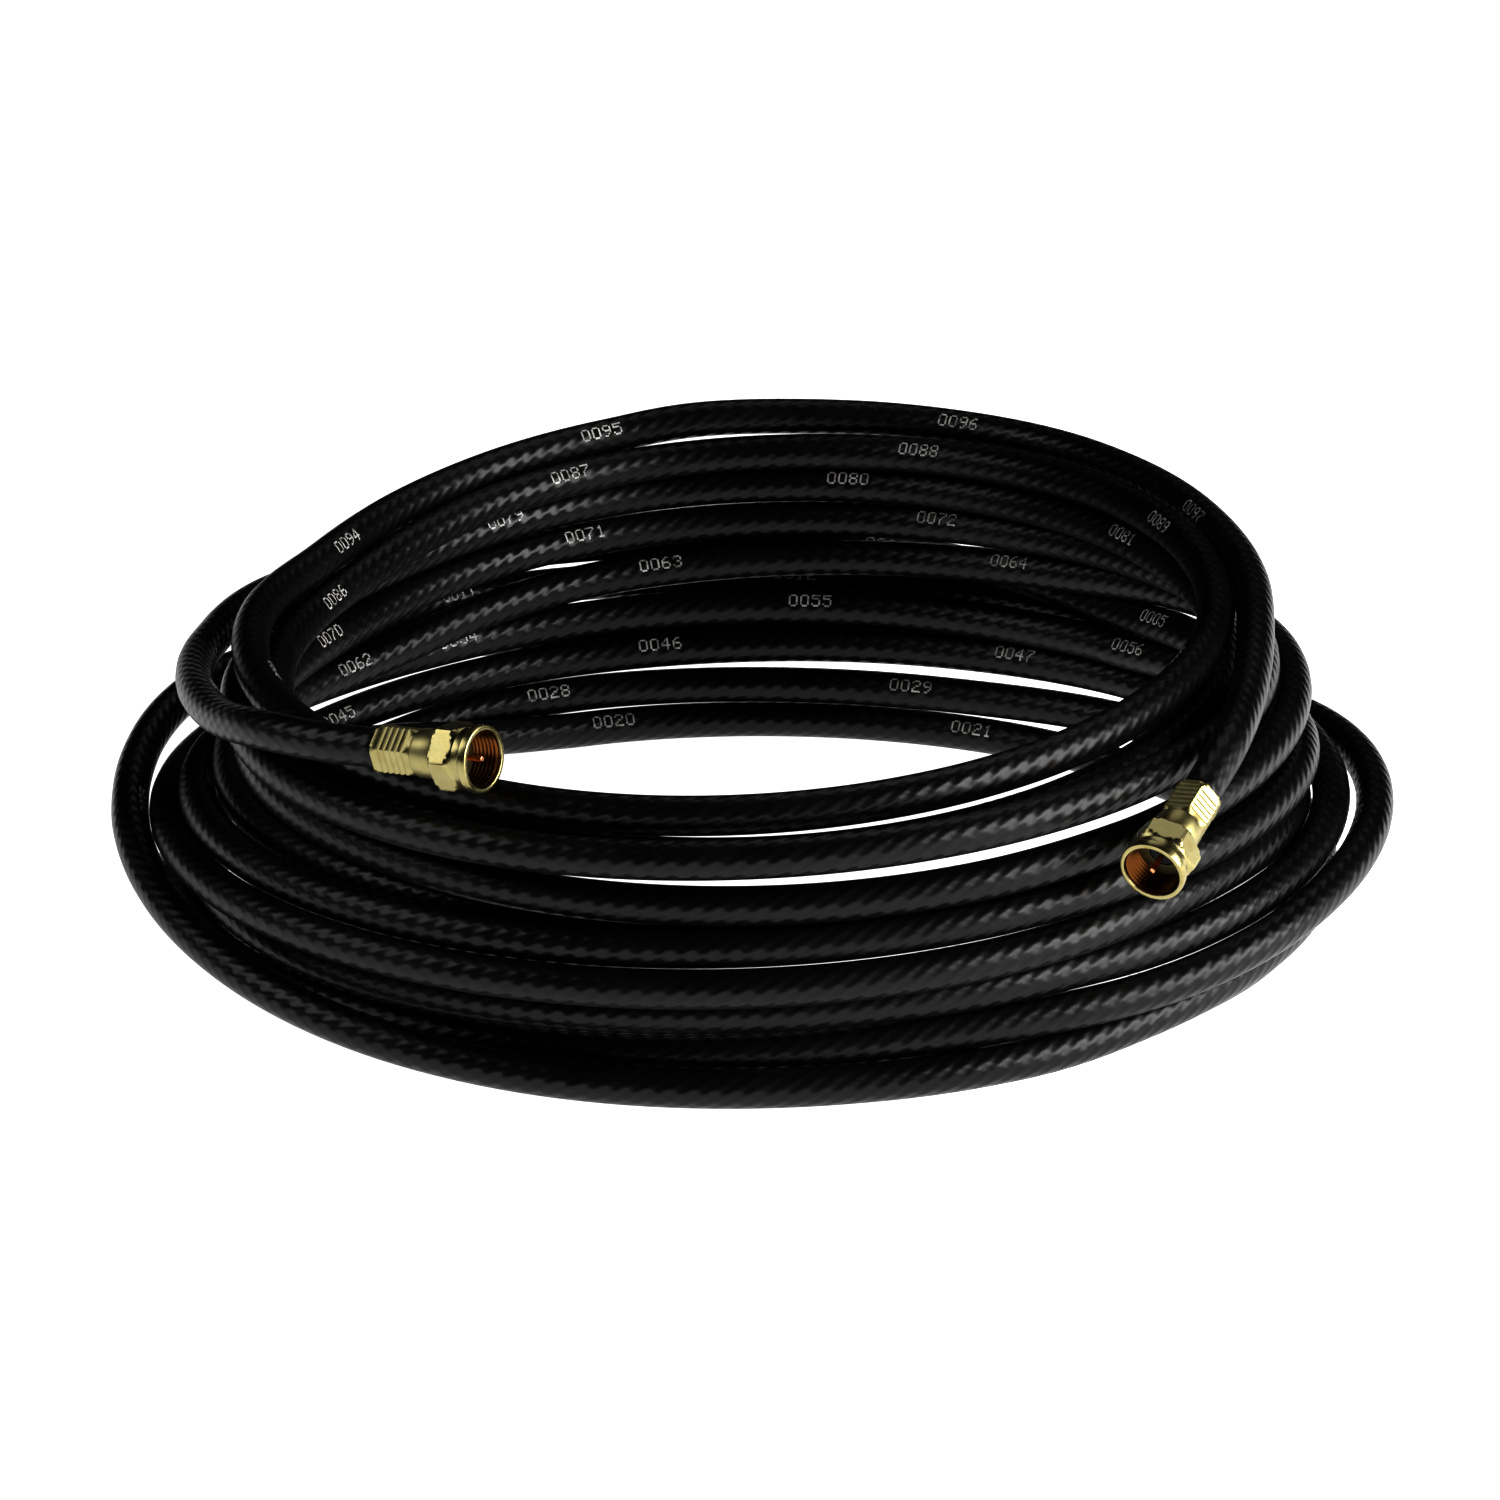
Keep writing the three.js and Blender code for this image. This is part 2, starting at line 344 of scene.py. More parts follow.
def line_frames(line):
    """At each point of the line: along it, towards the coil's middle, and up, at right angles."""
    along = unit(np.gradient(line, axis=0))
    inward = -line * np.array([1.0, 1.0, 0.0])
    inward = inward + np.array([COIL_AT[0], COIL_AT[1], 0.0]) * MM
    inward = unit(inward - along * np.sum(inward * along, axis=1, keepdims=True))
    upward = np.cross(along, inward)
    upward = upward * np.sign(upward[:, 2:3])
    return along, inward, upward


def mesh_object(name, verts, faces, material, uvs=None, smooth_angle=None):
    """A mesh object from arrays of points and of faces, with one UV pair for each face corner."""
    mesh = bpy.data.meshes.new(name)
    mesh.from_pydata(verts.tolist(), [], faces)
    mesh.materials.append(material)
    if uvs is not None:
        layer = mesh.uv_layers.new(name="UVMap")
        layer.data.foreach_set("uv", np.asarray(uvs, np.float32).reshape(-1))
    mesh.polygons.foreach_set("use_smooth", np.ones(len(mesh.polygons), bool))
    if smooth_angle:
        mesh.set_sharp_from_angle(angle=math.radians(smooth_angle))
    mesh.validate()
    mesh.update()
    obj = bpy.data.objects.new(name, mesh)
    bpy.context.scene.collection.objects.link(obj)
    return obj


def grid_faces(rows, columns):
    """Quads between neighbouring points of a grid whose columns close on themselves."""
    i = np.arange(rows - 1)[:, None]
    j = np.arange(columns)[None]
    k = (j + 1) % columns
    quads = np.stack([i * columns + j, i * columns + k, (i + 1) * columns + k, (i + 1) * columns + j], -1)
    return quads.reshape(-1, 4)


def tube_object(name, line, radius, sides, material):
    """A round tube: at each point of the line, a circle in the plane of its inward and upward
    directions. The UV map holds the distance along it in metres and the share of a turn round."""
    along, inward, upward = line_frames(line)
    t = np.arange(sides) * 2 * math.pi / sides
    ring = np.cos(t)[None, :, None] * inward[:, None] + np.sin(t)[None, :, None] * upward[:, None]
    verts = (line[:, None] + radius * ring).reshape(-1, 3)
    faces = grid_faces(len(line), sides)
    lengths = np.concatenate([[0.0], np.cumsum(np.linalg.norm(np.diff(line, axis=0), axis=1))])
    row = faces // sides
    column = faces % sides
    share = column / sides
    share[:, 1:3] = np.where(share[:, 1:3] == 0, 1.0, share[:, 1:3])
    uv = np.stack([lengths[row], share], -1)
    flip = np.dot(np.cross(inward[0], upward[0]), along[0]) < 0
    if flip:
        faces = faces[:, ::-1]
        uv = uv[:, ::-1]
    caps = [list(range(sides)), list(range((len(line) - 1) * sides, len(line) * sides))]
    caps[0 if not flip else 1].reverse()
    cap_uv = np.zeros((2 * sides, 2))
    all_uv = np.concatenate([uv.reshape(-1, 2), cap_uv])
    return mesh_object(name, verts, faces.tolist() + caps, material, all_uv)


def hexagon_radius(across, t, turn):
    """Distance of a hexagon's side from its middle at angle t: the half width over the cosine
    of the angle from the nearest flat. A corner lies at the angle turn - 90 degrees."""
    from_corner = np.mod(t - (turn - math.pi / 2), math.pi / 3)
    return across / 2 / np.cos(from_corner - math.pi / 6)


def turned_grid(profile, turn=0.0, steps=144):
    """A grid of points round +Z. Each row of the profile is [height, radius, hexagon width or
    0], and where a hexagon is given the radius is the smaller of the two, as on bar stock that
    has been turned down at its corners."""
    t = np.arange(steps) * 2 * math.pi / steps + turn
    rows = np.array([row[:3] for row in profile], float)
    flats = hexagon_radius(1.0, t, turn)
    radius = np.repeat(rows[:, 1:2], steps, axis=1)
    hexed = rows[:, 2:3] * flats[None]
    radius = np.where(rows[:, 2:3] > 0, np.minimum(radius, hexed), radius)
    x = radius * np.cos(t)
    y = radius * np.sin(t)
    z = np.repeat(rows[:, 0:1], steps, axis=1)
    return np.stack([x, y, z], -1)


def plug_piece(name, side, grid, material, angle=28.0):
    """Closes a turned grid on itself, sets it on its plug's line and turns it into metres."""
    rows, columns, _ = grid.shape
    faces = np.mod(grid_faces(rows + 1, columns), rows * columns)
    return mesh_object(name, placed(grid.reshape(-1, 3), side), faces.tolist(), material, smooth_angle=angle)


def placed(points, side):
    """Points of a plug drawn along +Z, set on its line in the part's frame, in metres."""
    plug = PLUGS[side]
    direction = Vector(plug["along"]).normalized()
    spin = np.array(Vector((0, 0, 1)).rotation_difference(direction).to_matrix())
    return (points @ spin.T + np.array(plug["at"], float) + COIL_AT) * MM


# Materials

# The braid under the jacket: its ribs' spacing along the cable, and how many go once round
BRAID_PITCH = 0.0037
BRAID_RIBS = 9.0
# Painted shade: the dark brown that the brass takes inside a nut's bore, where shade falls
PAINTED_BORE_SHADE = (0.16, 0.06, 0.015, 1)


def new_material(name, settings):
    """A material whose Principled shader takes its plain values straight on its sockets."""
    material = bpy.data.materials.new(name)
    material.use_nodes = True
    shader = material.node_tree.nodes["Principled BSDF"]
    for socket, value in settings.items():
        shader.inputs[socket].default_value = value
    return material, material.node_tree.nodes, material.node_tree.links, shader


def math_node(nodes, links, operation, a, b=None, c=None):
    """A Math node fed by sockets or plain numbers."""
    node = nodes.new("ShaderNodeMath")
    node.operation = operation
    for slot, value in enumerate((a, b, c)):
        if value is None:
            continue
        if isinstance(value, (int, float)):
            node.inputs[slot].default_value = value
        else:
            links.new(value, node.inputs[slot])
    return node.outputs[0]


def noise_node(nodes, links, vector, scale, detail=4.0, rough=0.55):
    """A Noise Texture on the given coordinates."""
    node = nodes.new("ShaderNodeTexNoise")
    node.inputs["Scale"].default_value = scale
    node.inputs["Detail"].default_value = detail
    node.inputs["Roughness"].default_value = rough
    links.new(vector, node.inputs["Vector"])
    return node.outputs["Fac"]


def range_node(nodes, links, value, low, high, to_low, to_high):
    """Maps a value from one range to another."""
    node = nodes.new("ShaderNodeMapRange")
    links.new(value, node.inputs["Value"])
    node.inputs["From Min"].default_value = low
    node.inputs["From Max"].default_value = high
    node.inputs["To Min"].default_value = to_low
    node.inputs["To Max"].default_value = to_high
    return node.outputs["Result"]


def ramp_node(nodes, links, value, stops):
    """A colour ramp through (place, colour) stops."""
    node = nodes.new("ShaderNodeValToRGB")
    ramp = node.color_ramp
    while len(ramp.elements) < len(stops):
        ramp.elements.new(0.5)
    for element, (place, colour) in zip(ramp.elements, stops):
        element.position = place
        element.color = (*colour, 1.0)
    links.new(value, node.inputs["Fac"])
    return node.outputs["Color"]


def bump_node(nodes, links, height, strength, distance, normal=None):
    """Bump from a height, over another bump if one is given."""
    node = nodes.new("ShaderNodeBump")
    node.inputs["Strength"].default_value = strength
    node.inputs["Distance"].default_value = distance
    links.new(height, node.inputs["Height"])
    if normal is not None:
        links.new(normal, node.inputs["Normal"])
    return node.outputs["Normal"]


def jacket_material(colour, gloss):
    """Black jacket: slanted ribs of the braid under it, fine grain, dust and rubbed places."""
    material, nodes, links, shader = new_material("jacket_black", {"Specular IOR Level": 0.32})
    uv = nodes.new("ShaderNodeUVMap")
    uv.uv_map = "UVMap"
    split = nodes.new("ShaderNodeSeparateXYZ")
    links.new(uv.outputs["UV"], split.inputs[0])
    coordinates = nodes.new("ShaderNodeTexCoord").outputs["Object"]
    wander = noise_node(nodes, links, coordinates, 160.0, 2.0)
    wander = range_node(nodes, links, wander, 0.3, 0.7, -0.5, 0.5)
    ribs = []
    along = math_node(nodes, links, "MULTIPLY", split.outputs["X"], 2 * math.pi / BRAID_PITCH)
    for ribs_round in (BRAID_RIBS, -BRAID_RIBS):
        phase = math_node(nodes, links, "MULTIPLY_ADD", split.outputs["Y"], 2 * math.pi * ribs_round, along)
        phase = math_node(nodes, links, "ADD", phase, wander)
        ribs.append(math_node(nodes, links, "SINE", phase))
    weave = math_node(nodes, links, "MULTIPLY_ADD", ribs[1], 0.45, ribs[0])
    grain = noise_node(nodes, links, coordinates, 2600.0, 3.0, 0.6)
    dents = noise_node(nodes, links, coordinates, 420.0, 3.0, 0.5)
    normal = bump_node(nodes, links, weave, 0.55, 0.00007)
    normal = bump_node(nodes, links, dents, 0.35, 0.00012, normal)
    normal = bump_node(nodes, links, grain, 0.16, 0.00004, normal)
    links.new(normal, shader.inputs["Normal"])
    rubbed = noise_node(nodes, links, coordinates, 38.0, 5.0, 0.6)
    dark = tuple(c * 0.75 for c in colour)
    pale = tuple(min(1.0, c * 1.6) for c in colour)
    tone = ramp_node(nodes, links, rubbed, [(0.3, dark), (0.55, colour), (0.8, pale)])
    links.new(tone, shader.inputs["Base Color"])
    rough = range_node(nodes, links, rubbed, 0.3, 0.75, gloss - 0.05, gloss + 0.09)
    rough = math_node(nodes, links, "MULTIPLY_ADD", grain, 0.08, rough)
    links.new(rough, shader.inputs["Roughness"])
    return material


def brass_material(name, colour, gloss, tint=(0.3, 0.25, 0.1)):
    """Yellow plated brass: cloudy plating and fine scratches, with painted shade, a dark brown, where the
    surface's attribute says that it lies inside a bore."""
    material, nodes, links, shader = new_material(name, {"Metallic": 1.0, "Specular IOR Level": 0.5})
    coordinates = nodes.new("ShaderNodeTexCoord").outputs["Object"]
    cloud = noise_node(nodes, links, coordinates, 260.0, 5.0, 0.6)
    fine = noise_node(nodes, links, coordinates, 1900.0, 4.0, 0.65)
    pale = tuple(min(1.0, c * 1.12) for c in colour)
    plating = ramp_node(nodes, links, cloud, [(0.3, tint), (0.52, colour), (0.75, pale)])
    inside = nodes.new("ShaderNodeAttribute")
    inside.attribute_name = "inside"
    mix = nodes.new("ShaderNodeMix")
    mix.data_type = "RGBA"
    links.new(inside.outputs["Fac"], mix.inputs[0])
    links.new(plating, mix.inputs[6])
    # Painted shade: inside the bore the plating gives way to a dark brown
    mix.inputs[7].default_value = PAINTED_BORE_SHADE
    links.new(mix.outputs[2], shader.inputs["Base Color"])
    rough = range_node(nodes, links, cloud, 0.3, 0.7, gloss - 0.04, gloss + 0.08)
    rough = math_node(nodes, links, "MULTIPLY_ADD", fine, 0.1, rough)
    links.new(rough, shader.inputs["Roughness"])
    normal = bump_node(nodes, links, fine, 0.12, 0.00003)
    normal = bump_node(nodes, links, cloud, 0.2, 0.00006, normal)
    links.new(normal, shader.inputs["Normal"])
    return material


def copper_material(colour):
    """Bare copper: a warm drawn wire with darker, tarnished patches."""
    material, nodes, links, shader = new_material("bare_copper", {"Metallic": 1.0})
    coordinates = nodes.new("ShaderNodeTexCoord").outputs["Object"]
    patches = noise_node(nodes, links, coordinates, 900.0, 4.0, 0.6)
    dull = tuple(c * 0.55 for c in colour)
    links.new(ramp_node(nodes, links, patches, [(0.35, dull), (0.6, colour)]), shader.inputs["Base Color"])
    links.new(range_node(nodes, links, patches, 0.3, 0.7, 0.22, 0.4), shader.inputs["Roughness"])
    links.new(bump_node(nodes, links, patches, 0.15, 0.00003), shader.inputs["Normal"])
    return material


def foam_material(name, colour):
    """Foamed plastic, matt and slightly pitted where it was cut."""
    material, nodes, links, shader = new_material(name, {"Roughness": 0.7})
    coordinates = nodes.new("ShaderNodeTexCoord").outputs["Object"]
    cells = noise_node(nodes, links, coordinates, 3200.0, 3.0, 0.5)
    pale = tuple(min(1.0, c * 1.3) for c in colour)
    links.new(ramp_node(nodes, links, cells, [(0.35, colour), (0.7, pale)]), shader.inputs["Base Color"])
    links.new(bump_node(nodes, links, cells, 0.4, 0.00008), shader.inputs["Normal"])
    return material


def ink_material(colour):
    """White marking ink, rubbed thin in places."""
    material, nodes, links, shader = new_material("marking_ink", {"Roughness": 0.5})
    coordinates = nodes.new("ShaderNodeTexCoord").outputs["Object"]
    worn = noise_node(nodes, links, coordinates, 520.0, 4.0, 0.7)
    thin = tuple(c * 0.22 for c in colour)
    links.new(ramp_node(nodes, links, worn, [(0.36, thin), (0.6, colour)]), shader.inputs["Base Color"])
    return material


# The sizes and colours that a user would change


class CableSettings(bpy.types.PropertyGroup):
    """Cable jacket and marking"""

    diameter: FloatProperty(
        name="Diameter",
        description="Outer diameter of the cable",
        default=0.0069,
        min=0.001,
        unit="LENGTH",
    )
    colour: FloatVectorProperty(
        name="Jacket",
        description="Colour of the cable's jacket",
        subtype="COLOR",
        size=3,
        min=0.0,
        max=1.0,
        default=(0.0034, 0.0028, 0.0026),
    )
    gloss: FloatProperty(
        name="Roughness",
        description="Roughness of the cable's jacket",
        default=0.3,
        min=0.05,
        max=1.0,
    )
    ink: FloatVectorProperty(
        name="Marking",
        description="Colour of the length marks",
        subtype="COLOR",
        size=3,
        min=0.0,
        max=1.0,
        default=(0.8, 0.79, 0.76),
    )


class PlugSettings(bpy.types.PropertyGroup):
    """Plug finishes"""

    brass: FloatVectorProperty(
        name="Plating",
        description="Colour of the plated brass",
        subtype="COLOR",
        size=3,
        min=0.0,
        max=1.0,
        default=(0.37, 0.33, 0.16),
    )
    roughness: FloatProperty(
        name="Roughness",
        description="Roughness of the plated brass",
        default=0.2,
        min=0.05,
        max=1.0,
    )
    copper: FloatVectorProperty(
        name="Copper",
        description="Colour of the centre wire",
        subtype="COLOR",
        size=3,
        min=0.0,
        max=1.0,
        default=(0.9, 0.42, 0.2),
    )


class StudioSettings(bpy.types.PropertyGroup):
    """Floor and lights"""

    floor_glow: FloatProperty(
        name="Floor glow",
        description="Brightness of the lit white floor",
        default=1.02,
        min=0.0,
    )
    key_power: FloatProperty(
        name="Side light",
        description="Power of the soft light at the right",
        default=16.0,
        min=0.0,
        unit="POWER",
    )


# Camera and cable


class COIL_OT_camera(bpy.types.Operator):
    """Set the camera at the photograph's angle and distance"""

    bl_idname = "cable_coil.camera"
    bl_label = "Camera"

    def execute(self, context):
        """The camera looks down at 20 degrees from the front, CAMERA_AWAY metres from a point
        over the coil's middle. Its lens is the sensor's width times FOCAL_PX over the frame."""
        data = bpy.data.cameras.new("photo_camera")
        data.sensor_fit = "HORIZONTAL"
        data.sensor_width = SENSOR_MM
        data.lens = SENSOR_MM * FOCAL_PX / FRAME_PX
        data.shift_x = SHIFT_PX[0] / FRAME_PX
        data.shift_y = SHIFT_PX[1] / FRAME_PX
        data.clip_end = 50.0
        camera = bpy.data.objects.new("photo_camera", data)
        context.scene.collection.objects.link(camera)
        target = Vector((COIL_AT[0] * MM, COIL_AT[1] * MM, CAMERA_TARGET_Z))
        backward = Vector((0, -math.cos(CAMERA_TILT), math.sin(CAMERA_TILT)))
        camera.location = target + backward * CAMERA_AWAY
        camera.rotation_euler = (math.radians(90) - CAMERA_TILT, 0, 0)
        context.scene.camera = camera
        return {"FINISHED"}


class COIL_OT_cable(bpy.types.Operator):
    """Wind the cable and print its length marks"""

    bl_idname = "cable_coil.cable"
    bl_label = "Cable"

    def execute(self, context):
        """One tube along the settled line, from the back of one plug to the other, and its length marks."""
        settings = context.scene.cable_settings
        line = cable_line()
        jacket = jacket_material(tuple(settings.colour), settings.gloss)
        cable = tube_object("coax_cable", line, settings.diameter / 2, TUBE_SIDES, jacket)
        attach(cable, "cable")
        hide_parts("cable_coil", "left_tail", "right_tail")
        marks = length_marks(line[::-1], settings.diameter / 2, ink_material(tuple(settings.ink)))
        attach(marks, "cable")
        return {"FINISHED"}


# Dots of each digit, row by row from the top, five to a row
DIGITS = {
    "0": "01110 10001 10001 10001 10001 10001 01110",
    "1": "00100 01100 00100 00100 00100 00100 01110",
    "2": "01110 10001 00001 00110 01000 10000 11111",
    "3": "01110 10001 00001 00110 00001 10001 01110",
    "4": "00010 00110 01010 10010 11111 00010 00010",
    "5": "11111 10000 11110 00001 00001 10001 01110",
    "6": "00110 01000 10000 11110 10001 10001 01110",
    "7": "11111 00001 00010 00100 01000 01000 01000",
    "8": "01110 10001 10001 01110 10001 10001 01110",
    "9": "01110 10001 10001 01111 00001 00010 01100",
}
MARK_EVERY = 0.074
MARK_DOT = 0.00036
MARK_LIFT = 0.00004
MARK_ANGLE = math.radians(38)
MARK_FROM_END = 0.06
DIGIT_DOTS = 6.4
DOT_FILL = 0.46


def length_marks(line, radius, material):
    """Plain running numbers along the jacket, in dots of ink. A dot's place along the cable and
    round it gives a point on the tube's surface, a hair above the jacket."""
    _, inward, upward = line_frames(line)
    lengths = np.concatenate([[0.0], np.cumsum(np.linalg.norm(np.diff(line, axis=0), axis=1))])
    s, w = [], []
    number = 1
    start = MARK_FROM_END
    while start < lengths[-1] - MARK_FROM_END:
        for place, digit in enumerate("%04d" % number):
            for row, bits in enumerate(DIGITS[digit].split()):
                for column, bit in enumerate(bits):
                    if bit == "1":
                        s.append(start + (place * DIGIT_DOTS + column) * MARK_DOT)
                        w.append((3 - row) * MARK_DOT)
        start += MARK_EVERY
        number += 1
    s = np.array(s)
    w = np.array(w)
    half = MARK_DOT * DOT_FILL
    corner_s = s[:, None] + np.array([-half, half, half, -half])
    corner_w = w[:, None] + np.array([-half, -half, half, half])
    at = corner_s.reshape(-1)
    turn = MARK_ANGLE + corner_w.reshape(-1) / radius
    centre = np.stack([np.interp(at, lengths, line[:, i]) for i in range(3)], 1)
    n_in = unit(np.stack([np.interp(at, lengths, inward[:, i]) for i in range(3)], 1))
    n_up = unit(np.stack([np.interp(at, lengths, upward[:, i]) for i in range(3)], 1))
    normal = np.cos(turn)[:, None] * n_in + np.sin(turn)[:, None] * n_up
    verts = centre + normal * (radius + MARK_LIFT)
    faces = np.arange(len(verts)).reshape(-1, 4)
    first = verts[faces[:, 1]] - verts[faces[:, 0]]
    second = verts[faces[:, 2]] - verts[faces[:, 0]]
    outward = np.sum(np.cross(first, second) * normal[faces[:, 0]], axis=1)
    faces = np.where(outward[:, None] < 0, faces[:, ::-1], faces)
    return mesh_object("length_marks", verts, faces.tolist(), material)


class COIL_OT_plugs(bpy.types.Operator):
    """Make the crimped sleeves, nuts and centre wires of both plugs"""

    bl_idname = "cable_coil.plugs"
    bl_label = "Plugs"

    def execute(self, context):
        """Each plug is drawn along +Z from the back of its sleeve and set on its own line."""
        settings = context.scene.plug_settings
        brass = brass_material("plated_brass", tuple(settings.brass), settings.roughness)
        dull = brass_material("plated_brass_crimped", tuple(settings.brass), settings.roughness + 0.12)
        copper = copper_material(tuple(settings.copper))
        dark = foam_material("dark_foam", (0.012, 0.012, 0.013))
        for side in ("left", "right"):
            sleeve = plug_piece(f"{side}_ribbed_sleeve", side, sleeve_grid(PLUGS[side]["sleeve"]), dull)
            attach(sleeve, "cable")
            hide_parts(f"{side}_crimp_sleeve")
            grid = nut_grid(PLUGS[side]["nut"])
            nut = plug_piece(f"{side}_threaded_nut", side, grid, brass)
            mark_inside(nut, grid)
            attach(nut, f"{side}_nut")
            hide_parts(f"{side}_nut")
            wire = plug_piece(f"{side}_centre_wire", side, wire_grid(), copper)
            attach(wire, "cable")
            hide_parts(f"{side}_centre_pin")
            for node, material in ((f"{side}_post", dull), (f"{side}_dielectric", dark)):
                data = bpy.data.objects[node].data
                data.materials.clear()
                data.materials.append(material)
        cable = bpy.data.objects["coax_cable"]
        line = tube_centres(cable)[::-1]
        return {"FINISHED"}


def tube_centres(tube):
    """The middle of each ring of a tube's points."""
    count = len(tube.data.vertices)
    points = np.empty(count * 3)
    tube.data.vertices.foreach_get("co", points)
    return points.reshape(-1, TUBE_SIDES, 3).mean(axis=1)


def sleeve_grid(turn):
    """The crimped sleeve: a hexagon pressed with ribs that run round it, a slightly belled back,
    then a smooth round band, and a bore for the post."""
    rows = [[1.2, 3.35, 0], [1.2, 1.0, 0], [0.0, 1.0, 0], [0.0, 4.15, SLEEVE_HEX]]
    rows += [[0.12, 4.42, SLEEVE_HEX * 1.05], [0.7, 4.5, SLEEVE_HEX * 1.04], [1.0, 4.45, SLEEVE_HEX]]
    start, end = 1.2, SLEEVE_HEX_L - 0.9
    pitch = (end - start) / SLEEVE_RIBS
    for i in range(SLEEVE_RIBS):
        z = start + i * pitch
        rows += [
            [z + 0.05 * pitch, 4.5, SLEEVE_HEX * 0.965],
            [z + 0.3 * pitch, 4.42, SLEEVE_HEX * 0.955],
            [z + 0.5 * pitch, RIB_CREST, SLEEVE_HEX],
            [z + 0.8 * pitch, RIB_CREST, SLEEVE_HEX * 1.005],
        ]
    band = SLEEVE_ROUND_D / 2
    rows += [
        [SLEEVE_HEX_L - 0.7, 4.3, SLEEVE_HEX * 0.99],
        [SLEEVE_HEX_L - 0.2, band - 0.28, 0],
        [SLEEVE_HEX_L + 0.1, band - 0.06, 0],
        [SLEEVE_HEX_L + 0.3, band, 0],
        [SLEEVE_L - 0.3, band, 0],
        [SLEEVE_L - 0.08, band - 0.08, 0],
        [SLEEVE_L, band - 0.3, 0],
        [SLEEVE_L, 3.35, 0],
    ]
    return turned_grid(rows, turn)


def nut_grid(turn):
    """The nut: a hexagon with its corners turned down at both ends, a neck, a round rim, and a
    threaded bore behind which a lip holds it on the post."""
    corner = NUT_HEX / 2 / math.cos(math.pi / 6)
    flat = NUT_HEX / 2
    start = NUT_START
    hex_end = start + NUT_HEX_L
    end = start + NUT_L
    neck = NUT_NECK_D / 2 - 0.15
    rim = NUT_RIM_D / 2
    bore = NUT_THREAD_D / 2
    outer = [
        [start, flat - 0.35, 0],
        [start + 0.06, flat - 0.12, 0],
        [start + 0.35, flat + 0.32, NUT_HEX],
        [start + 0.75, corner - 0.08, NUT_HEX],
        [start + 1.0, corner - 0.03, NUT_HEX],
        [hex_end - 1.1, corner - 0.03, NUT_HEX],
        [hex_end - 0.85, corner - 0.1, NUT_HEX],
        [hex_end - 0.4, flat + 0.32, NUT_HEX],
        [hex_end - 0.1, flat + 0.02, NUT_HEX],
        [hex_end + 0.02, neck + 0.08, 0],
        [hex_end + 0.15, neck, 0],
        [hex_end + NUT_NECK_L - 0.2, neck, 0],
        [hex_end + NUT_NECK_L - 0.02, neck + 0.08, 0],
        [hex_end + NUT_NECK_L + 0.25, rim - 0.12, 0],
        [hex_end + NUT_NECK_L + 0.42, rim, 0],
        [end - 0.3, rim, 0],
        [end - 0.08, rim - 0.08, 0],
        [end, rim - 0.26, 0],
        [end, bore + 0.3, 0],
        [end - 0.05, bore + 0.2, 0],
    ]
    inner = []
    deep = start + 2.0
    z = end - 0.5
    while z > deep:
        inner += [[z, bore - 0.02, 0], [z - 0.12, bore - 0.02, 0]]
        inner += [[z - 0.4, bore - THREAD_DEPTH, 0], [z - 0.5, bore - THREAD_DEPTH, 0]]
        z -= THREAD_PITCH
    inner += [[start + 1.5, bore, 0], [start + 1.4, bore - 0.1, 0]]
    inner += [[start + 1.4, LIP_BORE_D / 2 + 0.05, 0], [start, LIP_BORE_D / 2 + 0.05, 0]]
    return turned_grid(outer + inner, turn)


def mark_inside(nut, grid):
    """An attribute on the nut's points: 1 in its bore, where the radius is less than the
    thread's and the point lies behind the mouth, and 0 elsewhere."""
    radius = np.hypot(grid[..., 0], grid[..., 1])
    behind = grid[..., 2] < NUT_START + NUT_L - 0.3
    inside = ((radius < NUT_THREAD_D / 2 + 0.01) & behind).astype(np.float32)
    nut.data.attributes.new("inside", "FLOAT", "POINT").data.foreach_set("value", inside.reshape(-1))


def wire_grid():
    """The centre wire: a round rod with a cut, slightly rounded tip."""
    radius = WIRE_D / 2
    end = NUT_START + NUT_L - 0.4
    rows = [[FLANGE_FRONT + 0.3, 0.01, 0], [FLANGE_FRONT + 0.3, radius, 0], [end - 0.2, radius, 0]]
    rows += [[end - 0.06, radius - 0.06, 0], [end, radius - 0.2, 0], [end, 0.01, 0]]
    return turned_grid(rows, 0.0, 48)


# Studio

FLOOR_HALF = 6.0
# Painted light: the floor glows, brighter at the right, standing in for light from the right and the
# coil's shadow at the left. How much brighter the floor is at the right, and from where to where it
# rises, in metres
GLOW_RISE = 1.5
GLOW_FROM = -0.12
GLOW_TO = 0.2
ROOM_COLOUR = (0.003, 0.003, 0.003, 1)
CONTRAST_GAMMA = 0.72


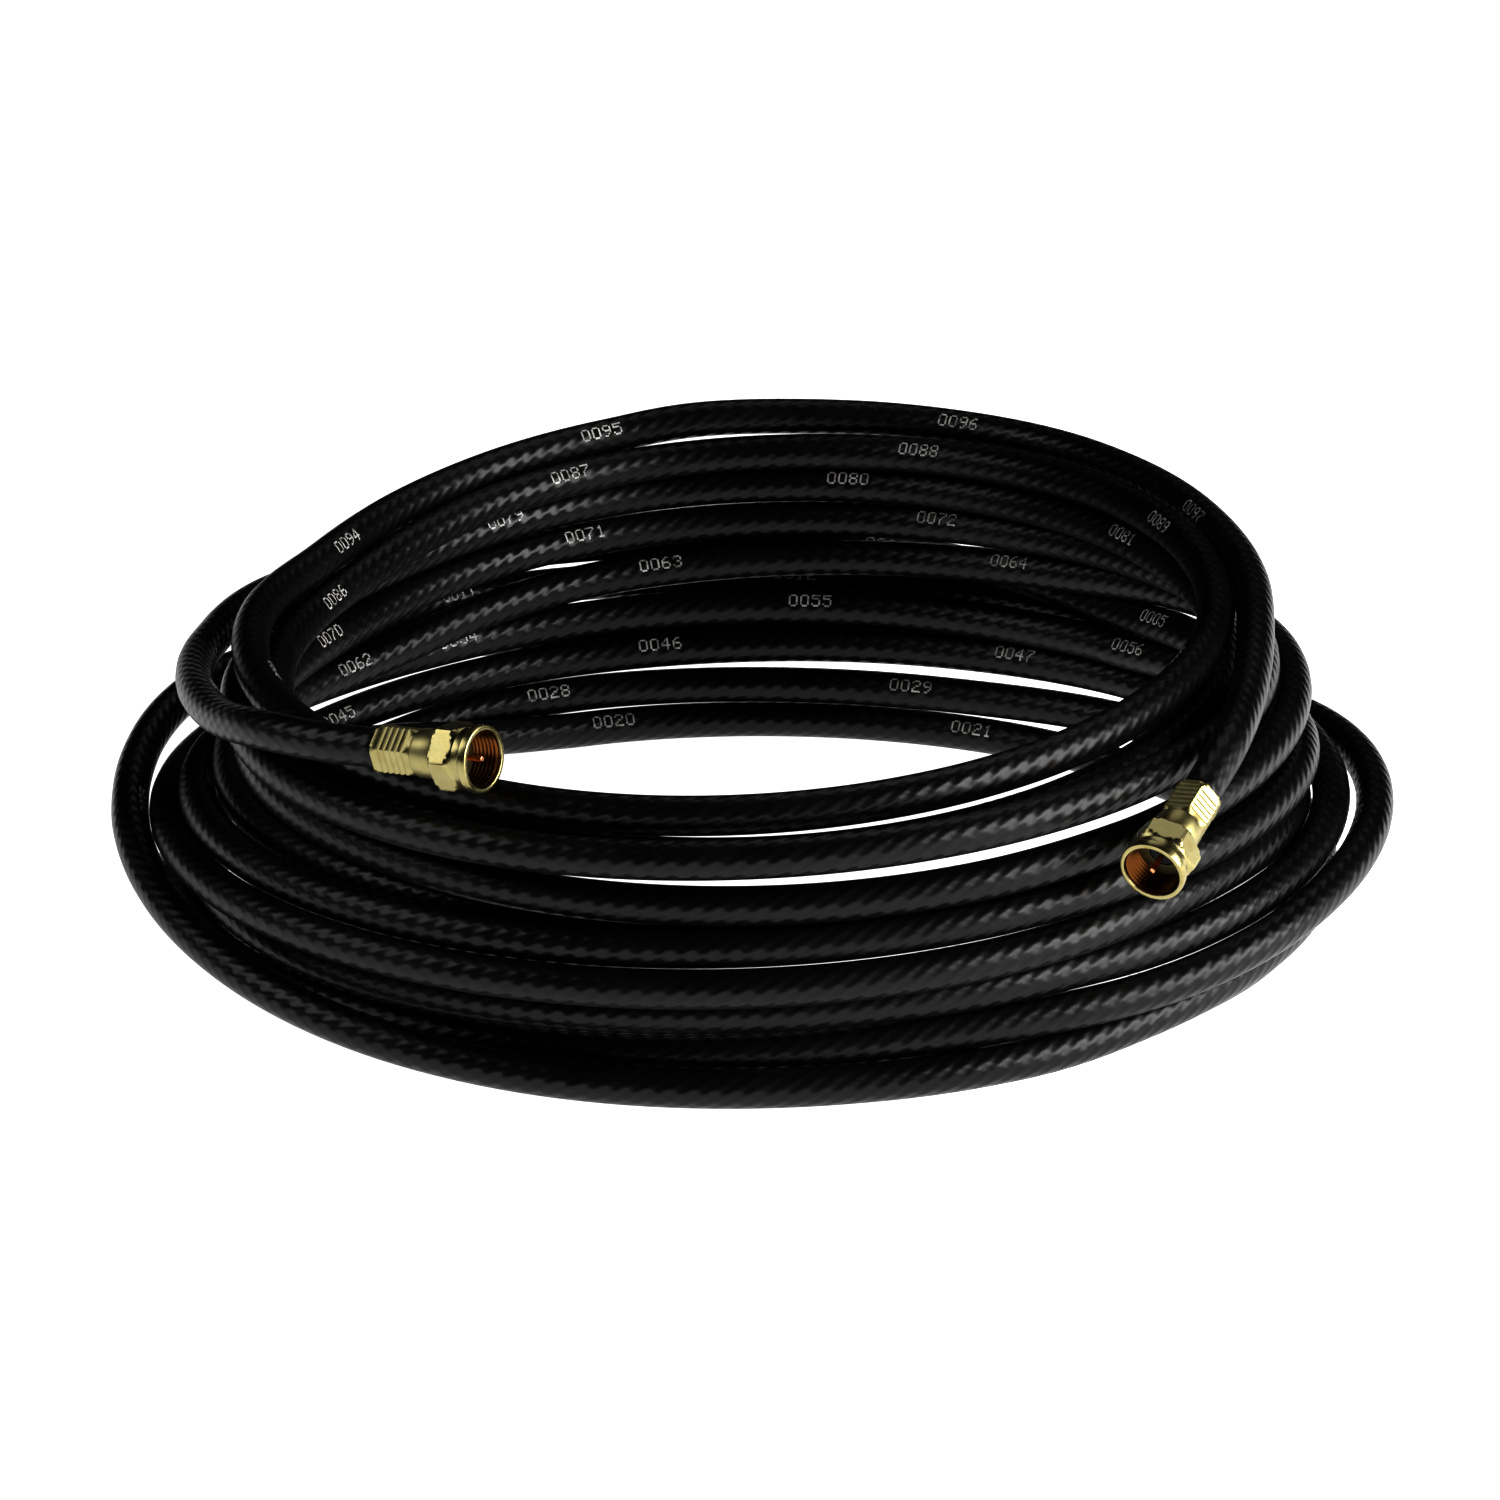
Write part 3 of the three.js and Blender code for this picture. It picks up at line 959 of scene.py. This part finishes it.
class COIL_OT_studio(bpy.types.Operator):
    """Lay the white floor and set the lights"""

    bl_idname = "cable_coil.studio"
    bl_label = "Studio"

    def execute(self, context):
        """A wide white floor that glows more towards the right, in a dark room, with a soft
        light at the right and two pale cards, at the left and above, for the brass to show."""
        settings = context.scene.studio_settings
        scene = context.scene
        scene.view_settings.view_transform = "Standard"
        scene.view_settings.look = "None"
        scene.view_settings.gamma = CONTRAST_GAMMA
        corners = np.array([[-1, -1, 0], [1, -1, 0], [1, 1, 0], [-1, 1, 0]], float) * FLOOR_HALF
        material, nodes, links, shader = new_material(
            "white_floor",
            {
                "Base Color": (0.85, 0.85, 0.85, 1),
                "Roughness": 0.8,
                "Emission Color": (1.0, 0.995, 0.99, 1),
            },
        )
        place = nodes.new("ShaderNodeTexCoord").outputs["Object"]
        split = nodes.new("ShaderNodeSeparateXYZ")
        links.new(place, split.inputs[0])
        across = math_node(nodes, links, "MULTIPLY_ADD", split.outputs["Y"], -0.35, split.outputs["X"])
        low = settings.floor_glow
        # Painted light: the floor's own glow, rising towards the right
        glow = range_node(nodes, links, across, GLOW_FROM, GLOW_TO, low, low * GLOW_RISE)
        links.new(glow, shader.inputs["Emission Strength"])
        floor = mesh_object("floor", corners, [[0, 1, 2, 3]], material)
        world = bpy.data.worlds.new("dark_room")
        world.use_nodes = True
        background = world.node_tree.nodes["Background"]
        background.inputs["Color"].default_value = ROOM_COLOUR
        background.inputs["Strength"].default_value = 1.0
        scene.world = world
        area_light("right_softbox", (0.9, -0.35, 0.35), (0, 0, 0.03), 0.8, 0.5, settings.key_power)
        area_light("left_card", (-0.55, -0.08, 0.45), (-0.06, -0.08, 0.06), 0.35, 0.35, 1.2)
        area_light("top_card", (0.15, 0.4, 0.8), (0.03, -0.05, 0.05), 0.5, 0.5, 0.9)
        return {"FINISHED"}


def area_light(name, at, towards, width, height, power):
    """A rectangular light that faces a point."""
    data = bpy.data.lights.new(name, "AREA")
    data.shape = "RECTANGLE"
    data.size = width
    data.size_y = height
    data.energy = power
    light = bpy.data.objects.new(name, data)
    light.location = at
    light.rotation_euler = (Vector(towards) - Vector(at)).to_track_quat("-Z", "Y").to_euler()
    bpy.context.scene.collection.objects.link(light)


class COIL_PT_panel(bpy.types.Panel):
    """Cable coil sizes, colours and steps"""

    bl_label = "Cable coil"
    bl_idname = "COIL_PT_panel"
    bl_space_type = "VIEW_3D"
    bl_region_type = "UI"
    bl_category = "Cable coil"

    def draw(self, context):
        """Lists the settings and the steps."""
        scene = context.scene
        for group, names in (
            (scene.cable_settings, ("diameter", "colour", "gloss", "ink")),
            (scene.plug_settings, ("brass", "roughness", "copper")),
            (scene.studio_settings, ("floor_glow", "key_power")),
        ):
            for name in names:
                self.layout.prop(group, name)
        for step in STEPS:
            self.layout.operator(step.bl_idname)


STEPS = (COIL_OT_camera, COIL_OT_cable, COIL_OT_plugs, COIL_OT_studio)
GROUPS = {
    "cable_settings": CableSettings,
    "plug_settings": PlugSettings,
    "studio_settings": StudioSettings,
}


def register():
    """Adds the settings, the steps and the panel."""
    for cls in (*GROUPS.values(), *STEPS, COIL_PT_panel):
        bpy.utils.register_class(cls)
    for name, group in GROUPS.items():
        setattr(bpy.types.Scene, name, PointerProperty(type=group))


def unregister():
    """Takes the settings, the steps and the panel away."""
    for name in GROUPS:
        delattr(bpy.types.Scene, name)
    for cls in (COIL_PT_panel, *reversed(STEPS), *reversed(GROUPS.values())):
        bpy.utils.unregister_class(cls)


def main():
    """Builds the whole scene."""
    register()
    bpy.ops.cable_coil.camera()
    bpy.ops.cable_coil.cable()
    bpy.ops.cable_coil.plugs()
    bpy.ops.cable_coil.studio()


if __name__ == "__main__":
    main()
